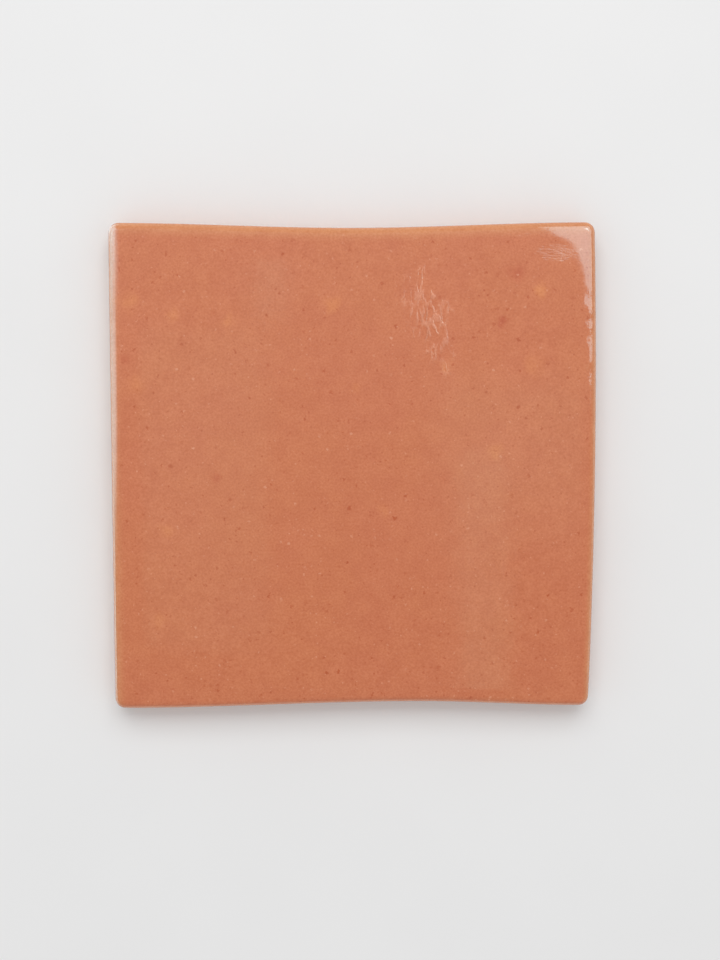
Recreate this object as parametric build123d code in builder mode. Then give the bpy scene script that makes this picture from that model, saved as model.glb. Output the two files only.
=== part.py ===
"""Hand-made glazed terracotta tile: one square slab of fired clay.

The tile lies on its back, with the glazed face up. +X runs to the right across the face,
+Y runs up it, and the origin is the middle of the back.
"""

import math
import os

from build123d import *

# Driving dimensions, in millimetres and degrees
face_width = 130.0  # across the face, from the left side to the fullest point of the right side
face_height = 131.3  # up the face, from the bottom left corner to the top right corner
thickness = 10.0  # from the flat back to the crown of the face
top_drop = 0.15  # how much lower the top left corner stands than the top right corner
top_bow = 1.35  # how far the middle of the top side is drawn in from its left corner
bottom_rise = 0.8  # how much higher the bottom right corner stands than the bottom left corner
bottom_bow = 2.0  # how far the bottom side is drawn in at its deepest point, from its left corner
bottom_bow_shift = 18.0  # that deepest point's distance to the right of the middle
right_bulge = 1.0  # how far the middle of the right side swells out past its corners
side_lean = 2.0  # angle by which the sides lean in from the face to the back
crown_rise = 0.8  # height of the middle of the face above its corners
arris_radius = 2.0  # rounded edge all round the face, where the glaze rolls over
corner_ease = 0.7  # how much larger a corner's rounding is in plan than the arris
back_edge_radius = 0.8  # rubbed edge all round the back

# The face is part of a large sphere that is highest over the middle of the tile
half_diagonal = math.hypot(face_width, face_height) / 2
crown_radius = (half_diagonal**2 + crown_rise**2) / (2 * crown_rise)

corner_radius = arris_radius + corner_ease
lean_inset = thickness * math.tan(math.radians(side_lean))
along_side = (1, 0)

with BuildPart() as tile:
    # Outlines of the face and of the back, which is smaller by the lean of the sides. The left
    # side is straight, the right side swells, and the top and bottom sides are drawn in between
    # corners that flare
    for level, inset in ((thickness, 0), (0, lean_inset)):
        left = -face_width / 2 + inset
        right = face_width / 2 - right_bulge - inset
        top_right = face_height / 2 - inset
        top_left = top_right - top_drop
        bottom_left = -face_height / 2 + inset
        bottom_right = bottom_left + bottom_rise
        with BuildSketch(Plane.XY.offset(level)) as outline:
            with BuildLine():
                Line((left, top_left), (left, bottom_left))
                Spline(
                    (left, bottom_left),
                    (bottom_bow_shift, bottom_left + bottom_bow),
                    (right, bottom_right),
                    tangents=(along_side, along_side),
                )
                ThreePointArc(
                    (right, bottom_right),
                    (right + right_bulge, (bottom_right + top_right) / 2),
                    (right, top_right),
                )
                Spline(
                    (left, top_left),
                    (0, top_left - top_bow),
                    (right, top_right),
                    tangents=(along_side, along_side),
                )
            make_face()
            fillet(outline.vertices(), corner_radius - inset)
    loft(ruled=True)

    # Crowned face. The sphere lies on its side, so that neither pole is on the face
    with Locations((0, 0, thickness - crown_radius)):
        Sphere(crown_radius, rotation=(90, 0, 0), mode=Mode.INTERSECT)

    # Rounded arris of the glazed face, and the rubbed edge of the back
    glazed_face = tile.faces().sort_by(Axis.Z)[-1]
    fillet(glazed_face.edges(), arris_radius)
    back = tile.faces().sort_by(Axis.Z)[0]
    fillet(back.edges(), back_edge_radius)

tile.part.label = "tile"

os.makedirs("parts", exist_ok=True)
export_step(tile.part, "parts/tile.step")

box = tile.part.bounding_box()
print("tile", box.size, "volume", round(tile.part.volume), "faces", len(tile.part.faces()))
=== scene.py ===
"""Looks of a hand-made glazed terracotta tile that lies on its back, laid out as a Blender add-on.

The tile is one closed surface: a crowned face that falls away towards its edges, a rounded arris,
leaning sides and a flat back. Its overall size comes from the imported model. Lengths are in metres.
"""

import math
from enum import IntEnum
from typing import NamedTuple

import bpy
import numpy as np
from bpy.props import FloatProperty, FloatVectorProperty, IntProperty, PointerProperty
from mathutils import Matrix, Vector


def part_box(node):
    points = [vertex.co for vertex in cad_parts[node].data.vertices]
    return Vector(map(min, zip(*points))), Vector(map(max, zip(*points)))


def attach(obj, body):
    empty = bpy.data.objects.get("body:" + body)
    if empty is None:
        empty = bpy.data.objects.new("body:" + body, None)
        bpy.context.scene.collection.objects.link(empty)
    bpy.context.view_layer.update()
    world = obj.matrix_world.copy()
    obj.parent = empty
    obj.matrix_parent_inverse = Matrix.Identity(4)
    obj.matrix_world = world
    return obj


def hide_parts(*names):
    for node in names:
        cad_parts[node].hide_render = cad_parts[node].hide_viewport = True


bl_info = {
    "name": "Glazed Terracotta Tile",
    "version": (1, 0, 0),
    "blender": (4, 5, 0),
    "location": "View3D > Sidebar > Tile",
    "description": "Builds a hand-made glazed tile and the stage that it lies on",
    "category": "Object",
}

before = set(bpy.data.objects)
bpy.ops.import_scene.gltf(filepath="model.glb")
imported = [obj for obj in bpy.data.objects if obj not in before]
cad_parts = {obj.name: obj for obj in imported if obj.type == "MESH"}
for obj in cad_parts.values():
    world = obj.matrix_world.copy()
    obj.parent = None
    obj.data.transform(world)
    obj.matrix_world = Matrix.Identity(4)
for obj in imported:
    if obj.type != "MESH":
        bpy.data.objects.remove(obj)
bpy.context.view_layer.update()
TILE_LOW, TILE_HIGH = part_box("tile")
TILE_SIZE = TILE_HIGH - TILE_LOW

MM = 0.001


class Draw(IntEnum):
    """What each random field adds to the seed, so that no two fields are alike."""

    LONG_SWELL = 0
    SHORT_SWELL = 1
    RIPPLE_PATCH = 2
    BEAD_BUMPS = 4
    GLAZE_LINE = 5
    OCHRE_ACROSS = 6
    OCHRE_UP = 7
    RED_ACROSS = 8
    RED_UP = 9
    CORNER_SCRATCHES = 10
    TOP_SCRATCHES = 11
    EDGE_WANDER = 12
    LOW_WAVES = 13
    RIPPLE_WAVES = 14


class Spot(NamedTuple):
    """An inclusion in the clay: its place and radius on the face in millimetres, and its strength."""

    x: float
    y: float
    radius: float
    strength: float


class Specks(NamedTuple):
    """A layer of small specks, iron in the clay or pale painted glints: spacing and largest radius in
    millimetres, and strength.
    """

    spacing: float
    largest: float
    strength: float


class Mottle(NamedTuple):
    """A layer of uneven colour: the size of its grains, and what multiplies the darkest and lightest.

    The noise that makes it goes from the darkest at low to the lightest at high.
    """

    grain: float
    low: float
    high: float
    darkest: tuple
    lightest: tuple


class Waves(NamedTuple):
    """Random waves of the glaze: height and cell size in millimetres, and their draw.

    A squeeze below 1 makes them that much longer up the face.
    """

    height: float
    cell: float
    draw: Draw
    squeeze: float = 1.0


OCHRE_SPOTS = (
    Spot(-59.4, 44.5, 2.6, 0.6),
    Spot(-57.8, 22.4, 2.4, 0.5),
    Spot(-47.7, 41.1, 1.8, 0.5),
    Spot(-33.2, 39.2, 1.8, 0.7),
    Spot(-5.7, 43.8, 2.2, 0.8),
    Spot(0.7, 21.8, 1.6, 0.4),
    Spot(24.5, 27.6, 1.8, 0.6),
    Spot(49.6, 47.5, 1.9, 1.0),
    Spot(47.7, 27.7, 2.8, 0.5),
    Spot(37.8, 4.5, 2.2, 0.6),
    Spot(8.4, -11.0, 1.5, 0.4),
    Spot(-50.3, -16.4, 2.2, 0.5),
    Spot(-52.5, -41.0, 2.2, 0.4),
)
RED_SPOTS = (
    Spot(43.2, 51.7, 2.2, 0.8),
    Spot(39.4, 39.2, 1.5, 1.0),
    Spot(-60.5, 29.6, 1.2, 0.6),
    Spot(-36.4, -2.0, 1.6, 0.7),
    Spot(-19.0, 26.0, 1.8, 0.3),
    Spot(24.5, -2.0, 2.0, 0.3),
)
DARK_SPECKS = (Specks(3.0, 0.8, 0.85), Specks(1.8, 0.56, 0.75), Specks(1.0, 0.36, 0.65))
# The pale specks are glints of the glaze, painted into its colour as specks
PAINTED_GLINT_SPECKS = (Specks(2.1, 0.5, 0.7), Specks(1.2, 0.32, 0.62))
MOTTLES = (
    Mottle(4 * MM, 0.3, 0.7, (0.975, 0.945, 0.930), (1.025, 1.055, 1.070)),
    Mottle(0.55 * MM, 0.25, 0.75, (0.935, 0.865, 0.785), (1.065, 1.135, 1.215)),
)

LONG_SWELL = Waves(0.05, 30.0, Draw.LONG_SWELL)
SHORT_SWELL = Waves(0.010, 9.0, Draw.SHORT_SWELL)
RIPPLE_WAVES = Waves(0.03, 1.8, Draw.RIPPLE_WAVES, squeeze=0.45)
LOW_WAVES = Waves(0.006, 4.0, Draw.LOW_WAVES)
BEAD_BUMPS = Waves(0.025, 1.5, Draw.BEAD_BUMPS, squeeze=0.7)
EDGE_WANDER = Waves(0.5, 2.0, Draw.EDGE_WANDER)
GLAZE_LINE_WANDER = Waves(1.6, 11.0, Draw.GLAZE_LINE)

# The y on the face up to which the low waves are at their full height, and where they have faded out
LOW_WAVES_END = (-5 * MM, 15 * MM)

# How the glaze stands along the right edge of the face: y and height in millimetres, up the side
EDGE_WAVE = (
    (18.0, 0.00),
    (22.0, 0.03),
    (25.6, -0.02),
    (28.6, 0.12),
    (35.2, -0.06),
    (37.5, 0.01),
    (39.9, -0.05),
    (41.8, 0.03),
    (45.6, -0.08),
    (47.9, 0.01),
    (50.0, 0.00),
)

# Colours of the light that the glaze reflects
COOL = (0.56, 0.94, 1.0)
BLUISH = (0.42, 0.88, 1.0)
GREEN = (0.5, 1.0, 0.7)
WHITE = (1.0, 1.0, 1.0)

# Places of the lights round the tile: the wall to the left, and the heights of the level cards
LEFT_WALL = -0.5
FOOT_HEIGHT = 0.0005
CORNER_FOOT_HEIGHT = 0.0006
GLINT_HEIGHT = 0.45
VEIL_HEIGHT = 0.9
SKY_HEIGHT = 0.95

# The x on the face up to which the left wall's cards show in full, and where they have faded out
LEFT_EDGE = (TILE_LOW.x + 2.2 * MM, TILE_LOW.x + 5 * MM)

# Corners of the right window, x and y, from the top of its ragged border down and round. The window
# sinks away from the tile: its height at one place, and how much lower it is for each metre beyond
RIGHT_WINDOW = (
    (0.1255, 0.200),
    (0.131, 0.155),
    (0.146, 0.139),
    (0.158, 0.123),
    (0.173, 0.097),
    (0.187, 0.086),
    (0.194, 0.073),
    (0.207, 0.058),
    (0.225, 0.046),
    (0.250, 0.032),
    (0.285, 0.017),
    (0.355, 0.017),
    (0.400, 0.042),
    (0.600, 0.050),
    (0.600, 0.770),
    (0.142, 0.770),
)
RIGHT_WINDOW_PLACE = 0.131
RIGHT_WINDOW_HEIGHT = 0.495
RIGHT_WINDOW_FALL = 0.4163
RIGHT_WINDOW_LEVEL = 5.0

LAMP_SIZE = (1.2, 0.8)
LAMP_PLACE = (0.0, 0.85, 1.05)
FLOOR_REACH = 30.0
CAMERA_AIM = (1.77 * MM, -2.94 * MM, 8 * MM)


class Card(NamedTuple):
    """A sheet of light with soft rims, which shows only as a reflection.

    It is a parallelogram of places corner + u * across + v * up. Softness gives the share of its
    width or height over which its low u, high u, low v and high v rims fade.
    """

    name: str
    corner: tuple
    across: tuple
    up: tuple
    softness: tuple
    colour: tuple
    level: float
    left_only: bool = False


def wall_card(name, low, high, softness, light_colour, level):
    """A card on the left wall between a low and a high corner, y and z, for the left edge alone."""
    width, height = high[0] - low[0], high[1] - low[1]
    corner = (LEFT_WALL, *low)
    return Card(name, corner, (0, width, 0), (0, 0, height), softness, light_colour, level, True)


def level_card(name, low, high, height, rims, light_colour, level):
    """A level card between a low and a high corner, x and y. Its rims have one width or four."""
    width, depth = high[0] - low[0], high[1] - low[1]
    softness = np.broadcast_to(rims, 4) / (width, width, depth, depth)
    corner = (*low, height)
    return Card(name, corner, (width, 0, 0), (0, depth, 0), softness, light_colour, level)


VEIL_RIGHT_RIMS = (0.0504, 0.198, 0.1075, 0.043)
CARDS = (
    wall_card("window_left", (-0.105, 0.0), (1.400, 1.50), (0.06, 0.6, 0.001, 0.8), BLUISH, 6.0),
    wall_card("window_left_end", (0.040, 0.0), (0.840, 1.55), (0.14, 0.7, 0.001, 0.25), BLUISH, 6.0),
    wall_card("glint_left", (0.150, 0.05), (0.205, 0.50), (0.4, 0.4, 0.3, 0.5), COOL, 14.0),
    level_card("window_left_foot", (-0.60, -0.10), (-0.070, 0.90), FOOT_HEIGHT, 0.025, BLUISH, 4.2),
    level_card("corner_foot", (-0.110, 0.061), (-0.0665, 0.110), CORNER_FOOT_HEIGHT, 0.007, BLUISH, 4.2),
    level_card("window_right_foot", (0.070, -0.45), (0.60, 0.45), FOOT_HEIGHT, 0.03, COOL, 0.9),
    level_card("window_low_foot", (-0.45, -0.60), (0.45, -0.070), FOOT_HEIGHT, 0.03, COOL, 0.9),
    level_card("glint_right", (0.190, 0.170), (0.320, 0.360), GLINT_HEIGHT, 0.02, COOL, 12.0),
    level_card("veil_sky", (-0.8, -0.30), (0.8, 1.0), SKY_HEIGHT, 0.5, WHITE, 0.5),
    level_card("veil_right", (0.050, -0.190), (0.410, 0.025), VEIL_HEIGHT, VEIL_RIGHT_RIMS, GREEN, 0.45),
    level_card("veil_low", (0.087, -0.380), (0.147, -0.060), VEIL_HEIGHT, 0.013, GREEN, 0.62),
    level_card("veil_left", (-0.240, -0.270), (-0.067, 0.060), VEIL_HEIGHT, 0.03, GREEN, 0.35),
    level_card("veil_top", (-0.105, 0.045), (-0.058, 0.143), VEIL_HEIGHT, 0.016, GREEN, 0.6),
)


def length(name, description, default):
    """A length that the user may change, in metres."""
    return FloatProperty(
        name=name, description=description, default=default, precision=5, unit="LENGTH"
    )


def colour(name, description, default):
    """A linear colour that the user may change."""
    return FloatVectorProperty(
        name=name, description=description, default=default, min=0, max=1, subtype="COLOR"
    )


def share(name, description, default):
    """A plain number from 0 to 1 that the user may change."""
    return FloatProperty(name=name, description=description, default=default, min=0, max=1)


class TileShape(bpy.types.PropertyGroup):
    """Sizes of the tile"""

    width: length("Width", "Across the face at its fullest", TILE_SIZE.x)
    height: length("Height", "Up the face, from corner to corner", TILE_SIZE.y)
    thickness: length("Thickness", "From the back to the crown of the face", TILE_SIZE.z)
    top_drop: length("Top drop", "How much lower the top left corner is than the right", 0.15 * MM)
    top_bow: length("Top bow", "How far the top side is drawn in from its left corner", 1.35 * MM)
    bottom_rise: length("Bottom rise", "How much higher the bottom right corner is", 0.8 * MM)
    bottom_bow: length("Bottom bow", "How far the bottom is drawn in from its left corner", 2 * MM)
    bottom_bow_shift: length("Bottom bow shift", "Where that is, right of the middle", 18 * MM)
    right_bulge: length("Right bulge", "How far the right side swells out", 1 * MM)
    crown_rise: length("Crown rise", "Height of the middle above the corners", 0.8 * MM)
    cushion_drop: length("Cushion drop", "Extra fall of the face at its edges", 0.3 * MM)
    cushion_width: length("Cushion width", "Distance over which that fall fades", 4 * MM)
    arris_radius: length("Arris radius", "Rounding of the edge of the face", 2 * MM)
    corner_ease: length("Corner ease", "Extra rounding of the corners in plan", 0.7 * MM)
    back_edge_radius: length("Back edge", "Rounding of the edge of the back", 0.8 * MM)
    glaze_line: length("Glaze line", "Height above the back at which the glaze ends", 3 * MM)
    # The lighter band of thin glaze reaches furthest in along the top and least along the bottom, so it
    # also paints in light from above
    thin_glaze_and_light_reach: FloatVectorProperty(
        name="Thin glaze",
        description="How far the thin glaze reaches in from the left, right, bottom and top sides",
        default=(3.6 * MM, 2.4 * MM, 1.0 * MM, 4.3 * MM),
        size=4,
        precision=5,
        unit="LENGTH",
    )
    side_lean: FloatProperty(
        name="Side lean",
        description="Angle by which the sides lean in from the face to the back",
        default=math.radians(2),
        subtype="ANGLE",
    )
    seed: IntProperty(name="Seed", description="Start of the random relief", default=11)


class TileFinish(bpy.types.PropertyGroup):
    """Colours and gloss of the tile"""

    clay: colour("Clay", "Fired clay under the glaze", (0.553, 0.162, 0.063))
    pink_clay: colour("Pink clay", "Cooler patches of the clay", (0.550, 0.157, 0.064))
    ochre: colour("Ochre", "Yellow inclusions", (0.640, 0.215, 0.074))
    red: colour("Red", "Red inclusions", (0.480, 0.100, 0.034))
    dark_speck: colour("Dark specks", "Iron specks", (0.415, 0.068, 0.010))
    # Pale specks: glints of the glaze, painted into the colour
    painted_glint_speck: colour("Pale specks", "Glints of the glaze, painted in as pale specks", (0.695, 0.300, 0.175))
    # Lighter clay under thin glaze; its wide band along the top also paints in light from above
    edge: colour("Edge", "Clay where the glaze runs thin over the arris, with light from above painted in along the top", (0.612, 0.243, 0.101))
    # Milky glaze on the ripple strokes, which also paints in part of their sheen
    milky_glaze_sheen: colour("Clouded glaze", "Milky glaze along the ripples, with part of their sheen painted in", (1.0, 0.85, 0.75))
    bare_clay: colour("Bare clay", "Clay that has no glaze", (0.560, 0.235, 0.130))
    glaze_roughness: share("Glaze roughness", "Roughness of the glaze", 0.05)
    bare_roughness: share("Bare roughness", "Roughness of the bare clay", 0.85)


class StageLook(bpy.types.PropertyGroup):
    """Floor, light and camera"""

    floor: colour("Floor", "Colour of the floor", (0.80, 0.80, 0.80))
    ambient: share("Ambient", "Light that comes from all round", 0.70)
    backdrop: share("Backdrop", "Brightness of what stands beyond the floor", 0.82)
    overhead_power: FloatProperty(
        name="Overhead power", description="Watts of the overhead light", default=8.8, unit="POWER"
    )
    camera_distance: length("Camera distance", "From the camera to the tile", 0.4292)
    camera_lens: FloatProperty(
        name="Lens", description="Focal length in millimetres", default=60.0, unit="CAMERA"
    )
    camera_tilt: FloatProperty(
        name="Camera tilt",
        description="Angle by which the camera leans towards the top of the tile",
        default=math.radians(5.7),
        subtype="ANGLE",
    )


def fade(t):
    """The quintic 6t^5 - 15t^4 + 10t^3, which is level at 0 and at 1."""
    return t * t * t * (t * (6 * t - 15) + 10)


def step(x, low, high):
    """The cubic 3t^2 - 2t^3 of the share t of the way from low to high, held between 0 and 1."""
    t = np.clip((x - low) / (high - low), 0, 1)
    return t * t * (3 - 2 * t)


def noise(x, y, cell, seed):
    """Gradient noise from about -0.7 to 0.7.

    Each corner of a square lattice of that cell has a plane that is zero there and tilts in a random
    direction. The four planes round a place are blended by the quintic fade.
    """
    lattice = 256
    tilt = np.random.default_rng(seed).uniform(0, 2 * math.pi, (lattice, lattice))
    u, v = x / cell, y / cell
    i, j = np.floor(u).astype(int), np.floor(v).astype(int)
    s, t = u - i, v - j

    def plane(right, up):
        angle = tilt[(i + right) % lattice, (j + up) % lattice]
        return np.cos(angle) * (s - right) + np.sin(angle) * (t - up)

    low = plane(0, 0) + (plane(1, 0) - plane(0, 0)) * fade(s)
    high = plane(0, 1) + (plane(1, 1) - plane(0, 1)) * fade(s)
    return low + (high - low) * fade(t)


def waves(x, y, kind, seed):
    """The height of one kind of random waves: their height times noise, stretched up the face."""
    return kind.height * MM * noise(x, kind.squeeze * y, kind.cell * MM, seed + kind.draw)


def bow(x, places, values):
    """A curve through three values at three places, as two cubics that are level at each of them."""
    first, middle, last = values
    before = first + (middle - first) * step(x, places[0], places[1])
    after = middle + (last - middle) * step(x, places[1], places[2])
    return np.where(x < places[1], before, after)


class Outline:
    """The tile's outline seen from above.

    An inner quadrilateral with bowed sides is pushed out by one radius all round, which rounds its
    corners. It runs counter-clockwise from the middle of the lower left corner, with the same
    number of steps from corner to corner on each side.
    """

    def __init__(self, shape, side_steps, corner_steps):
        self.shape = shape
        self.radius = shape.arris_radius + shape.corner_ease
        self.left = -shape.width / 2
        self.right = shape.width / 2 - shape.right_bulge
        self.bottom = -shape.height / 2
        self.top = shape.height / 2
        self.steps = side_steps + corner_steps
        self.points, self.turn = self.walk(side_steps, corner_steps // 2)

    def bottom_side(self, x):
        """How high the bottom side lies: drawn in between its corners, and higher at the right one."""
        shape = self.shape
        places = self.left, shape.bottom_bow_shift, self.right
        return self.bottom + bow(x, places, (0, shape.bottom_bow, shape.bottom_rise))

    def top_side(self, x):
        """How high the top side lies: drawn in between its corners, and lower at the left one."""
        shape = self.shape
        places = self.left, (self.left + self.right) / 2, self.right
        return self.top - bow(x, places, (shape.top_drop, shape.top_drop + shape.top_bow, 0))

    def right_side(self, y):
        """How far out the right side lies: a parabola that is fullest half-way up it."""
        middle = (self.bottom + self.shape.bottom_rise + self.top) / 2
        return self.right + self.shape.right_bulge * (1 - ((y - middle) / (self.top - middle)) ** 2)

    def inner_sides(self, count):
        """The bottom, right, top and left sides of the inner quadrilateral, with count points on each."""
        inset = self.radius
        left = self.left + inset
        right_low = self.right_side(self.bottom_side(self.right) + inset) - inset
        right_high = self.right_side(self.top_side(self.right) - inset) - inset
        bottom_x = np.linspace(left, right_low, count)
        bottom_y = self.bottom_side(bottom_x) + inset
        top_x = np.linspace(left, right_high, count)
        top_y = self.top_side(top_x) - inset
        left_y = np.linspace(bottom_y[0], top_y[0], count)
        right_y = np.linspace(bottom_y[-1], top_y[-1], count)
        return [
            np.stack([bottom_x, bottom_y], 1),
            np.stack([self.right_side(right_y) - inset, right_y], 1),
            np.stack([top_x, top_y], 1)[::-1],
            np.stack([np.full(count, left), left_y], 1)[::-1],
        ]

    def walk(self, side_steps, half_corner):
        """The points of the inner quadrilateral, and at each the direction in which it is pushed out.

        Along a side that direction is square to it. At a corner the point stays, and the direction
        swings in even steps from one side's to the next side's.
        """
        sides = self.inner_sides(side_steps + 1)
        headings = [np.gradient(side, axis=0) for side in sides]
        turn = [np.arctan2(-heading[:, 0], heading[:, 1]) for heading in headings]
        turn = np.unwrap(np.concatenate(turn)).reshape(len(sides), -1)
        full_turn = 2 * math.pi
        last_side = len(sides) - 1
        points, directions = [], []
        for k, side in enumerate(sides):
            before = turn[k - 1, -1] - (full_turn if k == 0 else 0)
            after = turn[(k + 1) % len(sides), 0] + (full_turn if k == last_side else 0)
            entry = np.linspace((before + turn[k, 0]) / 2, turn[k, 0], half_corner + 1)[:-1]
            leave = np.linspace(turn[k, -1], (turn[k, -1] + after) / 2, half_corner + 1)[1:-1]
            directions.append(np.concatenate([entry, turn[k], leave]))
            first = np.repeat(side[:1], half_corner, axis=0)
            last = np.repeat(side[-1:], half_corner - 1, axis=0)
            points.append(np.concatenate([first, side, last]))
        return np.concatenate(points), np.concatenate(directions)

    def ring(self, offset):
        """The outline pushed out by an offset at each point, or drawn in where it is negative."""
        outward = np.stack([np.cos(self.turn), np.sin(self.turn)], 1)
        return self.points + (self.radius + offset)[:, None] * outward

    def depths(self, x, y):
        """How far a place lies inside the left, right, bottom and top sides."""
        return (
            x - self.left,
            self.right_side(y) - x,
            y - self.bottom_side(x),
            self.top_side(x) - y,
        )


def fill(ring, steps):
    """The inside of a ring of four sides as a grid: a Coons patch.

    The patch adds the blend of the bottom and top sides to the blend of the left and right sides,
    and takes away the blend of the four corners, which was counted twice.
    """
    loop = np.concatenate([ring, ring[:1]])
    bottom, right = loop[: steps + 1], loop[steps : 2 * steps + 1]
    top, left = loop[2 * steps : 3 * steps + 1][::-1], loop[3 * steps :][::-1]
    u = (bottom[:, 0] - bottom[0, 0]) / (bottom[-1, 0] - bottom[0, 0])
    v = (left[:, 1] - left[0, 1]) / (left[-1, 1] - left[0, 1])
    u, v = u[:, None, None], v[None, :, None]
    rows = bottom[:, None] * (1 - v) + top[:, None] * v
    columns = left[None] * (1 - u) + right[None] * u
    low = bottom[0] * (1 - u) + bottom[-1] * u
    high = top[0] * (1 - u) + top[-1] * u
    return rows + columns - low * (1 - v) - high * v


def rim(steps):
    """Where the ring of four sides lies in the flattened grid that fill makes."""
    side = np.arange(steps)
    index = np.arange((steps + 1) ** 2).reshape(steps + 1, steps + 1)
    return np.concatenate(
        [index[side, 0], index[steps, side], index[steps - side, steps], index[0, steps - side]]
    )


def grid_faces(steps, first):
    """Four-sided faces of a grid that starts at vertex first, seen counter-clockwise from above."""
    index = first + np.arange((steps + 1) ** 2).reshape(steps + 1, steps + 1)
    corners = index[:-1, :-1], index[1:, :-1], index[1:, 1:], index[:-1, 1:]
    return np.stack(corners, -1).reshape(-1, 4)


def band_faces(upper, lower):
    """Four-sided faces between two rings with the same number of vertices."""
    return np.stack([upper, lower, np.roll(lower, -1), np.roll(upper, -1)], 1)


def halving_faces(upper, lower):
    """Triangles between a ring and one below it that has half as many vertices."""
    even, odd = upper[0::2], upper[1::2]
    following = np.roll(lower, -1)
    fans = (even, lower, odd), (odd, lower, following), (odd, following, np.roll(even, -1))
    return np.concatenate([np.stack(fan, 1) for fan in fans])


def spots(x, y, places, across_seed, up_seed):
    """Soft spots from 0 to 1 that fade out at a number of radii, and whose shape noise bends."""
    wander, bend, faded_out = 1.5 * MM, 2.6 * MM, 1.5
    moved_x = x + wander * noise(x, y, bend, across_seed)
    moved_y = y + wander * noise(x, y, bend, up_seed)
    amount = np.zeros_like(x)
    for spot in places:
        distance = np.hypot(moved_x - spot.x * MM, moved_y - spot.y * MM)
        inside = 1 - step(distance, 0, faded_out * spot.radius * MM)
        amount = np.maximum(amount, spot.strength * inside)
    return amount


def edge_wave(y):
    """Height of the glaze along the right edge: cubic steps from each crest or trough to the next."""
    height = np.zeros_like(y)
    for (low, low_height), (high, high_height) in zip(EDGE_WAVE, EDGE_WAVE[1:]):
        height += (high_height - low_height) * MM * step(y, low * MM, high * MM)
    return height


def patch(x, y, middle, reach, seed):
    """A soft-edged patch from 0 to 1 about a middle, with its reach along x and y. Noise frays it."""
    fray, fray_cell, core = 0.6, 4 * MM, 0.4
    distance = np.hypot((x - middle[0]) / reach[0], (y - middle[1]) / reach[1])
    return 1 - step(distance + fray * noise(x, y, fray_cell, seed), core, 1.0)


def ripple_patch(x, y, seed):
    """Where the glaze has dried in fine upright ripples: a patch that leans to the left as it rises."""
    middle, reach, lean = (19.9 * MM, 41.0 * MM), (6.4 * MM, 17 * MM), 0.25
    along = x + lean * (y - middle[1])
    return patch(along, y, middle, reach, seed + Draw.RIPPLE_PATCH)


def scratch_patches(x, y, seed):
    """Where the glaze is scratched: in the top right corner, and faintly along the top side."""
    corner_middle, corner_reach = (53.5 * MM, 57.3 * MM), (6.2 * MM, 3.2 * MM)
    top_middle, top_reach, faintness = (43 * MM, 62 * MM), (6 * MM, 0.9 * MM), 0.6
    corner = patch(x, y, corner_middle, corner_reach, seed + Draw.CORNER_SCRATCHES)
    top = patch(x, y, top_middle, top_reach, seed + Draw.TOP_SCRATCHES)
    return np.maximum(corner, faintness * top)


def bead(x, y, outline):
    """Where the glaze has gathered unevenly along the right edge, from 0 to 1.

    One cubic step gives its end away from the edge, and two more give its low and high ends.
    """
    depth_end, low_end, high_end = (2.0 * MM, 3.2 * MM), (10 * MM, 22 * MM), (44 * MM, 50 * MM)
    near_right = 1 - step(outline.depths(x, y)[1], *depth_end)
    return near_right * step(y, *low_end) * (1 - step(y, *high_end))


def face_relief(x, y, outline):
    """Height of the glazed face, counted from its crown.

    A paraboloid gives the crown. An exponential of the distance to each side gives the cushion. Noise
    gives long and short swells, the waves under the ripples and the waves of the lower part. The
    edge wave and small bumps run along the right side.
    """
    shape = outline.shape
    seed = shape.seed
    half_diagonal = math.hypot(shape.width, shape.height) / 2
    crown_radius = half_diagonal**2 / (2 * shape.crown_rise)
    height = -(x * x + y * y) / (2 * crown_radius)
    for depth in outline.depths(x, y):
        inside = np.maximum(depth - shape.arris_radius, 0)
        height -= shape.cushion_drop * np.exp(-inside / shape.cushion_width)

    height += waves(x, y, LONG_SWELL, seed)
    height += waves(x, y, SHORT_SWELL, seed)
    height += waves(x, y, RIPPLE_WAVES, seed) * ripple_patch(x, y, seed)
    height += waves(x, y, LOW_WAVES, seed) * (1 - step(y, *LOW_WAVES_END))

    wave = edge_wave(y + waves(x, y, EDGE_WANDER, seed))
    return height + bead(x, y, outline) * (wave + waves(x, y, BEAD_BUMPS, seed))


def edge_profile(shape, rim_z):
    """Offsets from the outline, and heights, of the rings that lead from the face down to the back.

    The arris is an arc that starts at the slope of the cushion and ends upright. The side leans in
    on its way down. The edge of the back is a quarter of a circle. Each has one value for each point
    of the rim.
    """
    arris_rows, side_rows, back_rows = 10, 10, 4
    arris = np.full(len(rim_z), shape.arris_radius)
    offsets, heights = [], []

    start = math.atan(shape.cushion_drop / shape.cushion_width)
    swing = arris / (1 - math.sin(start))
    for angle in np.linspace(start, math.pi / 2, arris_rows + 1)[1:]:
        offsets.append(swing * (math.sin(angle) - math.sin(start)) - arris)
        heights.append(rim_z - swing * (math.cos(start) - math.cos(angle)))

    widest_z = heights[-1]
    for part in np.linspace(0, 1, side_rows + 1)[1:]:
        z = widest_z + (shape.back_edge_radius - widest_z) * part
        offsets.append((z - widest_z) * math.tan(shape.side_lean))
        heights.append(z)

    side_foot = offsets[-1]
    for angle in np.linspace(0, math.pi / 2, back_rows + 1)[1:]:
        offsets.append(side_foot - shape.back_edge_radius * (1 - math.cos(angle)))
        heights.append(np.full(len(rim_z), shape.back_edge_radius * (1 - math.sin(angle))))
    return offsets, heights


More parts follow.
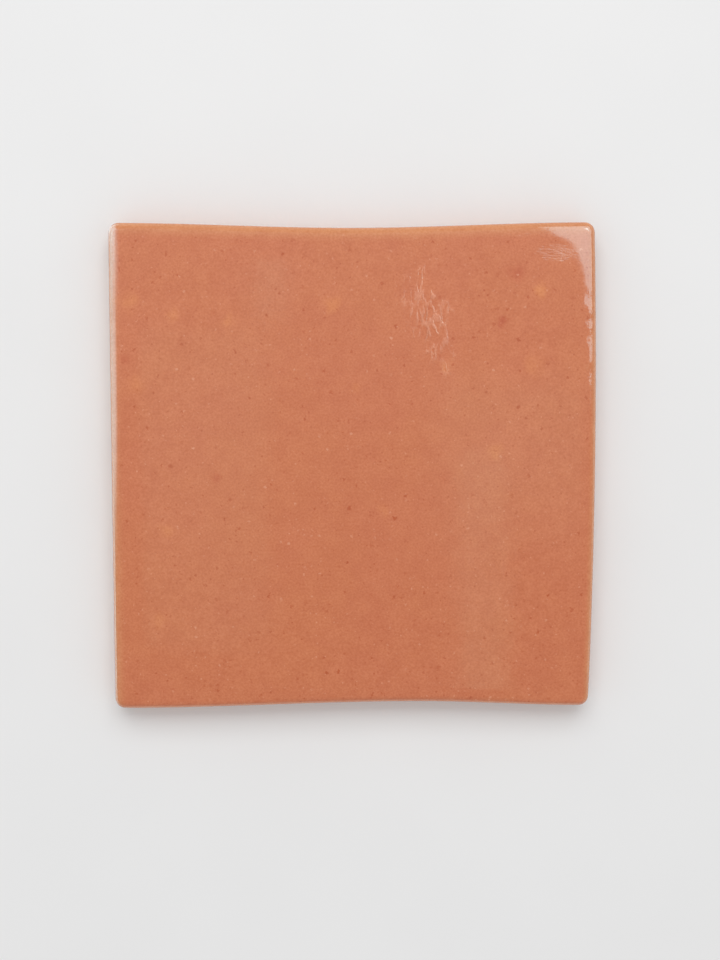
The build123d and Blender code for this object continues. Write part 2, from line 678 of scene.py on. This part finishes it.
def surface_values(x, y, z, outline):
    """What the material reads at each vertex: numbers from 0 to 1, by name.

    Cubic steps in height and in depth from the sides bound the glaze, its thin part and the face. The thin
    part is widest along the top and narrowest along the bottom, so it also paints in light from above.
    """
    shape = outline.shape
    seed = shape.seed
    below_crown = shape.thickness - z
    line_blend, thin_end, face_end = 0.25 * MM, (3 * MM, 5 * MM), (2 * MM, 3 * MM)
    glaze_end = shape.glaze_line + waves(x, y, GLAZE_LINE_WANDER, seed)
    glaze = step(z, glaze_end - line_blend, glaze_end + line_blend)

    # Thin glaze at each side; its wider band along the top also paints in light from above
    thin = np.zeros_like(x)
    for depth, reach in zip(outline.depths(x, y), shape.thin_glaze_and_light_reach):
        thin = np.maximum(thin, 1 - step(depth, 0, reach))
    thin *= 1 - step(below_crown, *thin_end)

    on_face = 1 - step(below_crown, *face_end)
    ochre = spots(x, y, OCHRE_SPOTS, seed + Draw.OCHRE_ACROSS, seed + Draw.OCHRE_UP)
    red = spots(x, y, RED_SPOTS, seed + Draw.RED_ACROSS, seed + Draw.RED_UP)
    return {
        "glaze": glaze,
        "thin": thin * glaze,
        "ochre": ochre * on_face,
        "red": red * on_face,
        "ripple": ripple_patch(x, y, seed) * on_face,
        "scratch": scratch_patches(x, y, seed) * on_face,
        "bead": bead(x, y, outline) * on_face,
    }


def tile_surface(shape):
    """Vertices, faces and point attributes of the whole tile.

    The face is a grid. Rings of the same outline then carry a profile from its rim over the arris,
    down the leaning side and round the edge of the back. The back is a grid of half as many steps.
    """
    side_steps, corner_steps = 232, 8
    outline = Outline(shape, side_steps, corner_steps)
    steps = outline.steps
    face_rim, back_steps = rim(steps), steps // 2

    face = fill(outline.ring(np.full(len(face_rim), -shape.arris_radius)), steps).reshape(-1, 2)
    face_z = shape.thickness + face_relief(face[:, 0], face[:, 1], outline)

    offsets, heights = edge_profile(shape, face_z[face_rim])
    rings = np.array(
        [np.column_stack([outline.ring(offset), z]) for offset, z in zip(offsets, heights)]
    )

    back_margin = 0.5 * MM
    back = fill(outline.ring(offsets[-1] - back_margin)[::2], back_steps).reshape(-1, 2)

    vertices = np.concatenate(
        [
            np.column_stack([face, face_z]),
            rings.reshape(-1, 3),
            np.column_stack([back, np.zeros(len(back))]),
        ]
    )
    ring_count, ring_size = rings.shape[:2]
    ring_index = len(face) + np.arange(ring_count * ring_size).reshape(ring_count, ring_size)
    back_first = len(face) + ring_count * ring_size
    bands = [face_rim, *ring_index]
    quads = [grid_faces(steps, 0)]
    quads += [band_faces(upper, lower) for upper, lower in zip(bands, bands[1:])]
    quads.append(grid_faces(back_steps, back_first)[:, ::-1])
    triangles = halving_faces(bands[-1], back_first + rim(back_steps))
    return vertices, np.concatenate(quads), triangles, surface_values(*vertices.T, outline)


def mesh_of(name, vertices, quads, triangles=np.zeros((0, 3), int)):
    """A smooth mesh of those vertices, with its four-sided faces first and its triangles after them."""
    corners = np.concatenate([quads.ravel(), triangles.ravel()])
    sizes = np.concatenate([np.full(len(quads), 4), np.full(len(triangles), 3)])
    mesh = bpy.data.meshes.new(name)
    mesh.vertices.add(len(vertices))
    mesh.vertices.foreach_set("co", np.asarray(vertices, np.float32).ravel())
    mesh.loops.add(len(corners))
    mesh.loops.foreach_set("vertex_index", corners.astype(np.int32))
    mesh.polygons.add(len(sizes))
    mesh.polygons.foreach_set("loop_start", (np.cumsum(sizes) - sizes).astype(np.int32))
    mesh.update(calc_edges=True)
    if mesh.validate():
        raise RuntimeError(f"{name} has faulty faces")
    mesh.shade_smooth()
    return mesh


def point_value(mesh, name, values):
    """Keeps one number for each vertex, which a material can read by that name."""
    attribute = mesh.attributes.new(name, "FLOAT", "POINT")
    attribute.data.foreach_set("value", np.asarray(values, np.float32))


def shown(name, mesh, material):
    """A new object in the scene, at the origin, with that material."""
    made = bpy.data.objects.new(name, mesh)
    made.data.materials.append(material)
    bpy.context.scene.collection.objects.link(made)
    return made


class Weaver:
    """Adds nodes to a material or a world and links them."""

    def __init__(self, owner):
        owner.use_nodes = True
        self.tree = owner.node_tree
        self.tree.nodes.clear()

    def node(self, kind, inputs=None, **settings):
        """A node with those settings. An input is a plain value, or a socket to link."""
        made = self.tree.nodes.new(kind)
        for name, value in settings.items():
            setattr(made, name, value)
        for key, value in (inputs or {}).items():
            if isinstance(value, bpy.types.NodeSocket):
                self.tree.links.new(value, made.inputs[key])
            else:
                made.inputs[key].default_value = value
        return made

    def math(self, operation, *values):
        """What a math operation makes of those values."""
        made = self.node("ShaderNodeMath", dict(enumerate(values)), operation=operation)
        return made.outputs[0]

    def vector_math(self, operation, *values):
        """What an operation on each of three numbers makes of those vectors or colours."""
        made = self.node("ShaderNodeVectorMath", dict(enumerate(values)), operation=operation)
        return made.outputs[0]

    def blend(self, factor, first, second):
        """A colour that goes from first to second as factor goes from 0 to 1."""
        factor_input, first_input, second_input, colour_output = 0, 6, 7, 2
        values = {factor_input: factor, first_input: first, second_input: second}
        return self.node("ShaderNodeMix", values, data_type="RGBA").outputs[colour_output]

    def span(self, value, low, high, at_low=0.0, at_high=1.0):
        """A smooth step of value from low to high."""
        values = {0: value, 1: low, 2: high, 3: at_low, 4: at_high}
        made = self.node("ShaderNodeMapRange", values, interpolation_type="SMOOTHSTEP")
        return made.outputs[0]

    def attribute(self, name):
        """A number that the mesh keeps for each of its vertices."""
        return self.node("ShaderNodeAttribute", attribute_name=name).outputs["Fac"]

    def places(self, stretch=(1, 1, 1)):
        """Object coordinates, squeezed along each axis by stretch."""
        own = self.node("ShaderNodeTexCoord").outputs["Object"]
        if stretch == (1, 1, 1):
            return own
        return self.node("ShaderNodeMapping", {"Vector": own, "Scale": stretch}).outputs[0]

    def noise(self, grain, detail=2.0, stretch=(1, 1, 1)):
        """Noise from 0 to 1 whose largest grains are about that size."""
        values = {"Vector": self.places(stretch), "Scale": 1 / grain, "Detail": detail}
        return self.node("ShaderNodeTexNoise", values).outputs["Fac"]

    def wander(self, places, grain, reach):
        """Those places, each moved by noise of that grain by up to about half of reach."""
        values = {"Vector": places, "Scale": 1 / grain, "Detail": 1.0}
        shift = self.node("ShaderNodeTexNoise", values).outputs["Color"]
        return self.vector_math("MULTIPLY_ADD", shift, (reach,) * 3, places)

    def specks(self, spacing, largest, strongest):
        """Scattered specks of uneven shape, from 0 to strongest.

        Each cell of that spacing has one. Chance gives its strength, and its radius up to largest.
        """
        fray, soft_rim = 2.0 * largest, 0.5 * largest / spacing
        moved = self.wander(self.places(), largest, fray)
        cells = self.node("ShaderNodeTexVoronoi", {"Vector": moved, "Scale": 1 / spacing})
        chance = self.node("ShaderNodeSeparateColor", {0: cells.outputs["Color"]})
        size = self.math("MULTIPLY", chance.outputs[0], largest / spacing)
        near = self.math("SUBTRACT", size, cells.outputs["Distance"])
        strength = self.math("MULTIPLY", chance.outputs[1], strongest)
        return self.math("MULTIPLY", self.span(near, 0.0, soft_rim), strength)

    def network(self, spacing, stretch, width):
        """Ridges from 0 to 1 along the borders of cells of that spacing.

        Each flank of a ridge has that width.
        """
        bend = 0.9 * spacing
        places = self.wander(self.places(stretch), bend, bend)
        values = {"Vector": places, "Scale": 1 / spacing}
        cells = self.node("ShaderNodeTexVoronoi", values, feature="DISTANCE_TO_EDGE")
        return self.span(cells.outputs["Distance"], 0.0, width / spacing, 1.0, 0.0)

    def ray_start_x(self):
        """The x of the place that a ray came from.

        That place is its position + its length * its incoming direction.
        """
        place = self.node("ShaderNodeNewGeometry").outputs
        reach = self.node("ShaderNodeLightPath").outputs["Ray Length"]
        start = self.vector_math("MULTIPLY_ADD", place["Incoming"], reach, place["Position"])
        return self.node("ShaderNodeSeparateXYZ", {0: start}).outputs["X"]

    def surface(self, shader):
        """Ends the nodes with that shader as the surface of a material."""
        self.node("ShaderNodeOutputMaterial", {"Surface": shader.outputs[0]})


def opaque(colour_value):
    """A colour with an alpha of 1, as node sockets take it."""
    return (*colour_value, 1.0)


def clay_tint(make, finish, bare, ripple):
    """Colour of the clay and its glaze.

    Over uneven clay come its inclusions, iron specks, glints painted in as pale specks, lighter thin glaze
    at the edges, which along the top also paints in light from above, bare clay, mottling, and the milky
    strokes of the ripples, which also paint in part of their sheen.
    """
    cloud_grain, cloud_levels, fine_detail, milky_sheen_share = 22 * MM, (0.35, 0.65), 3.0, 0.06
    cloud = make.span(make.noise(cloud_grain, fine_detail), *cloud_levels)
    tint = make.blend(cloud, opaque(finish.clay), opaque(finish.pink_clay))
    tint = make.blend(make.attribute("ochre"), tint, opaque(finish.ochre))
    tint = make.blend(make.attribute("red"), tint, opaque(finish.red))
    # The dark specks are iron in the clay; the pale ones are painted glints of the glaze
    for layers, speck in ((DARK_SPECKS, finish.dark_speck), (PAINTED_GLINT_SPECKS, finish.painted_glint_speck)):
        for layer in layers:
            amount = make.specks(layer.spacing * MM, layer.largest * MM, layer.strength)
            tint = make.blend(amount, tint, opaque(speck))
    # Lighter where the glaze runs thin, which along the top also paints in light from above
    tint = make.blend(make.attribute("thin"), tint, opaque(finish.edge))
    tint = make.blend(bare, tint, opaque(finish.bare_clay))
    for mottle in MOTTLES:
        amount = make.span(make.noise(mottle.grain, fine_detail), mottle.low, mottle.high)
        uneven = make.blend(amount, opaque(mottle.darkest), opaque(mottle.lightest))
        tint = make.vector_math("MULTIPLY", tint, uneven)
    # Milky glaze along the ripple strokes, which also paints in part of their sheen
    return make.blend(make.math("MULTIPLY", ripple, milky_sheen_share), tint, opaque(finish.milky_glaze_sheen))


def ripple_strokes(make):
    """Fine upright strokes from 0 to 1 inside the rippled patch, broken off here and there."""
    gap_grain, gap_stretch, gap_levels = 2.6 * MM, (1.0, 0.5, 1.0), (0.32, 0.6)
    strokes = make.network(spacing=1.6 * MM, stretch=(1.0, 0.35, 1.0), width=0.36 * MM)
    broken = make.span(make.noise(gap_grain, stretch=gap_stretch), *gap_levels)
    strokes = make.math("MULTIPLY", strokes, broken)
    return make.math("MULTIPLY", strokes, make.attribute("ripple"))


def glaze_roughness(make, finish, bare, ripple):
    """Roughness: slightly uneven over the glaze, more in the rippled patch, and most on bare clay."""
    smooth = finish.glaze_roughness
    dullest, patch_dulling, stroke_dulling = 1.6 * smooth, 0.08, 0.6
    grain, levels = 3 * MM, (0.3, 0.7)
    gloss = make.span(make.noise(grain), *levels, smooth, dullest)
    gloss = make.math("MULTIPLY_ADD", make.attribute("ripple"), patch_dulling, gloss)
    gloss = make.math("MULTIPLY_ADD", ripple, stroke_dulling, gloss)
    return make.math("MULTIPLY_ADD", bare, finish.bare_roughness - smooth, gloss)


def glaze_relief(make, bare, ripple):
    """Fine relief in millimetres: the skin of the glaze with ripples, scratches and grit, and bare clay."""
    skin_height, ripple_height, scratch_height = 0.004, 0.1, 0.08
    grit_height, tooth_height = 0.04, 0.15
    skin_grain, scratch_grain, grit_grain, tooth_grain = 0.9 * MM, 0.3 * MM, 0.6 * MM, 0.5 * MM
    longer_up, longer_across, mean_noise = (1.0, 0.5, 1.0), (0.15, 1.0, 1.0), 0.5
    skin = make.noise(skin_grain, stretch=longer_up)
    scratch = make.math("SUBTRACT", make.noise(scratch_grain, stretch=longer_across), mean_noise)
    scratch = make.math("MULTIPLY", scratch, make.attribute("scratch"))
    grit = make.math("MULTIPLY", make.noise(grit_grain), make.attribute("bead"))
    tooth = make.math("MULTIPLY", make.noise(tooth_grain, detail=4.0), bare)
    relief = make.math("MULTIPLY", skin, skin_height)
    relief = make.math("MULTIPLY_ADD", ripple, ripple_height, relief)
    relief = make.math("MULTIPLY_ADD", scratch, scratch_height, relief)
    relief = make.math("MULTIPLY_ADD", grit, grit_height, relief)
    return make.math("MULTIPLY_ADD", tooth, tooth_height, relief)


def glazed_clay(finish):
    """Terracotta under a clear glaze, with bare clay where the glaze attribute is 0."""
    material = bpy.data.materials.new("glazed_terracotta")
    make = Weaver(material)
    bare = make.math("SUBTRACT", 1.0, make.attribute("glaze"))
    ripple = ripple_strokes(make)
    relief = glaze_relief(make, bare, ripple)
    bump = make.node("ShaderNodeBump", {"Height": relief, "Distance": 1 * MM, "Strength": 1.0})
    shader = make.node(
        "ShaderNodeBsdfPrincipled",
        {
            "Base Color": clay_tint(make, finish, bare, ripple),
            "Roughness": glaze_roughness(make, finish, bare, ripple),
            "Normal": bump.outputs[0],
            "IOR": 1.5,
        },
    )
    make.surface(shader)
    return material


def floor_paint(floor_colour):
    """Matt paint, hardly uneven."""
    material = bpy.data.materials.new("floor_paint")
    make = Weaver(material)
    grain, levels, darkest, lightest = 40 * MM, (0.3, 0.7), 0.995, 1.005
    shade = make.span(make.noise(grain), *levels, darkest, lightest)
    tint = make.node(
        "ShaderNodeVectorMath", {0: tuple(floor_colour), "Scale": shade}, operation="SCALE"
    ).outputs[0]
    shader = make.node(
        "ShaderNodeBsdfPrincipled",
        {"Base Color": tint, "Roughness": 0.9, "Specular IOR Level": 0.0},
    )
    make.surface(shader)
    return material


def glow_paint(name, light_colour, level, left_only=False):
    """Light that the glow attribute adds to whatever stands behind the card.

    With left_only, it reaches only the left edge of the tile, and the rest of the face stays clear.
    """
    material = bpy.data.materials.new(name)
    make = Weaver(material)
    strength = make.math("MULTIPLY", make.attribute("glow"), level)
    if left_only:
        near_edge = make.span(make.ray_start_x(), *LEFT_EDGE, 1.0, 0.0)
        strength = make.math("MULTIPLY", strength, near_edge)
    light = make.node("ShaderNodeEmission", {"Color": opaque(light_colour), "Strength": strength})
    clear = make.node("ShaderNodeBsdfTransparent")
    make.surface(make.node("ShaderNodeAddShader", {0: light.outputs[0], 1: clear.outputs[0]}))
    return material


def only_reflected(card):
    """Makes a card show in the glaze and nowhere else."""
    card.visible_camera = False
    card.visible_diffuse = False
    card.visible_transmission = False
    card.visible_volume_scatter = False
    card.visible_shadow = False


def hang_window(name, corners, light_colour, level):
    """A flat sheet of light with those corners and sharp rims, which shows only as a reflection."""
    mesh = bpy.data.meshes.new(name)
    mesh.from_pydata(corners, [], [range(len(corners))])
    point_value(mesh, "glow", np.ones(len(corners)))
    only_reflected(shown(name, mesh, glow_paint(name, light_colour, level)))


def hang_card(card):
    """Makes a card as a grid of points, whose glow goes from 0 at each rim to 1 over its softness."""
    steps = 48
    shares = np.linspace(0, 1, steps + 1)
    u, v = np.meshgrid(shares, shares, indexing="ij")
    points = card.corner + u[..., None] * card.across + v[..., None] * card.up
    mesh = mesh_of(card.name, points.reshape(-1, 3), grid_faces(steps, 0))
    glow = np.ones_like(u)
    for distance, softness in zip((u, 1 - u, v, 1 - v), card.softness):
        glow *= step(distance, 0, softness)
    point_value(mesh, "glow", glow.ravel())
    paint = glow_paint(card.name, card.colour, card.level, card.left_only)
    only_reflected(shown(card.name, mesh, paint))


class TERRACOTTA_OT_tile(bpy.types.Operator):
    """Builds the glazed tile in place of the plain solid"""

    bl_idname = "terracotta.tile"
    bl_label = "Build tile"

    def execute(self, context):
        scene = context.scene
        vertices, quads, triangles, attributes = tile_surface(scene.tile_shape)
        mesh = mesh_of("glazed_tile", vertices, quads, triangles)
        for name, values in attributes.items():
            point_value(mesh, name, values)
        tile = shown("glazed_tile", mesh, glazed_clay(scene.tile_finish))
        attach(tile, "root")
        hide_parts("tile")
        return {"FINISHED"}


class TERRACOTTA_OT_stage(bpy.types.Operator):
    """Lays the floor, sets the lights and the world, and places the camera"""

    bl_idname = "terracotta.stage"
    bl_label = "Set stage"

    def execute(self, context):
        scene = context.scene
        look = scene.stage_look
        self.lay_floor(look)
        self.set_world(scene, look)
        self.hang_lamp(scene, look)
        self.hang_windows()
        self.place_camera(scene, look)
        scene.view_settings.view_transform = "Standard"
        return {"FINISHED"}

    def lay_floor(self, look):
        """One large level square under the tile."""
        corners = FLOOR_REACH * np.array([(-1, -1, 0), (1, -1, 0), (1, 1, 0), (-1, 1, 0)])
        mesh = mesh_of("floor", corners, np.array([[0, 1, 2, 3]]))
        shown("floor", mesh, floor_paint(look.floor))

    def set_world(self, scene, look):
        """Light from all round, and a pale backdrop for what is seen past the floor or reflected."""
        world = bpy.data.worlds.new("studio")
        scene.world = world
        make = Weaver(world)
        path = make.node("ShaderNodeLightPath").outputs
        seen = make.math("ADD", path["Is Camera Ray"], path["Is Glossy Ray"])
        seen = make.math("ADD", seen, path["Is Transmission Ray"])
        level = make.span(seen, 0.0, 1.0, look.ambient, look.backdrop)
        sky = make.node("ShaderNodeBackground", {"Color": opaque(WHITE), "Strength": level})
        make.node("ShaderNodeOutputWorld", {"Surface": sky.outputs[0]})

    def hang_lamp(self, scene, look):
        """A soft light beyond the top of the tile, turned towards its middle."""
        lamp = bpy.data.lights.new("overhead_light", "AREA")
        lamp.shape = "RECTANGLE"
        lamp.size, lamp.size_y = LAMP_SIZE
        lamp.energy = look.overhead_power
        overhead = bpy.data.objects.new("overhead_light", lamp)
        overhead.location = LAMP_PLACE
        overhead.rotation_euler = (-overhead.location).to_track_quat("-Z", "Y").to_euler()
        overhead.visible_glossy = False
        scene.collection.objects.link(overhead)

    def hang_windows(self):
        """The sheets of light that the glaze reflects."""
        corners = [
            (x, y, RIGHT_WINDOW_HEIGHT - RIGHT_WINDOW_FALL * (x - RIGHT_WINDOW_PLACE))
            for x, y in RIGHT_WINDOW
        ]
        hang_window("window_right", corners, COOL, RIGHT_WINDOW_LEVEL)
        for card in CARDS:
            hang_card(card)

    def place_camera(self, scene, look):
        """A camera above the tile, leaning a little towards its top."""
        lens = bpy.data.cameras.new("camera")
        lens.lens = look.camera_lens
        camera = bpy.data.objects.new("camera", lens)
        away = Vector((0, math.sin(look.camera_tilt), math.cos(look.camera_tilt)))
        camera.location = Vector(CAMERA_AIM) + away * look.camera_distance
        camera.rotation_euler = (-look.camera_tilt, 0, 0)
        scene.collection.objects.link(camera)
        scene.camera = camera


class TERRACOTTA_PT_panel(bpy.types.Panel):
    """Sizes, finish and stage of the tile"""

    bl_idname = "TERRACOTTA_PT_panel"
    bl_label = "Glazed Tile"
    bl_space_type = "VIEW_3D"
    bl_region_type = "UI"
    bl_category = "Tile"

    def draw(self, context):
        scene = context.scene
        for title, group in (
            ("Shape", scene.tile_shape),
            ("Finish", scene.tile_finish),
            ("Stage", scene.stage_look),
        ):
            box = self.layout.box()
            box.label(text=title)
            for name in group.__annotations__:
                box.prop(group, name)
        for operator in (TERRACOTTA_OT_tile, TERRACOTTA_OT_stage):
            self.layout.operator(operator.bl_idname)


CLASSES = (
    TileShape,
    TileFinish,
    StageLook,
    TERRACOTTA_OT_tile,
    TERRACOTTA_OT_stage,
    TERRACOTTA_PT_panel,
)


def register():
    for made in CLASSES:
        bpy.utils.register_class(made)
    bpy.types.Scene.tile_shape = PointerProperty(type=TileShape)
    bpy.types.Scene.tile_finish = PointerProperty(type=TileFinish)
    bpy.types.Scene.stage_look = PointerProperty(type=StageLook)


def unregister():
    del bpy.types.Scene.stage_look
    del bpy.types.Scene.tile_finish
    del bpy.types.Scene.tile_shape
    for made in reversed(CLASSES):
        bpy.utils.unregister_class(made)


def main():
    register()
    bpy.ops.terracotta.tile()
    bpy.ops.terracotta.stage()


if __name__ == "__main__":
    main()
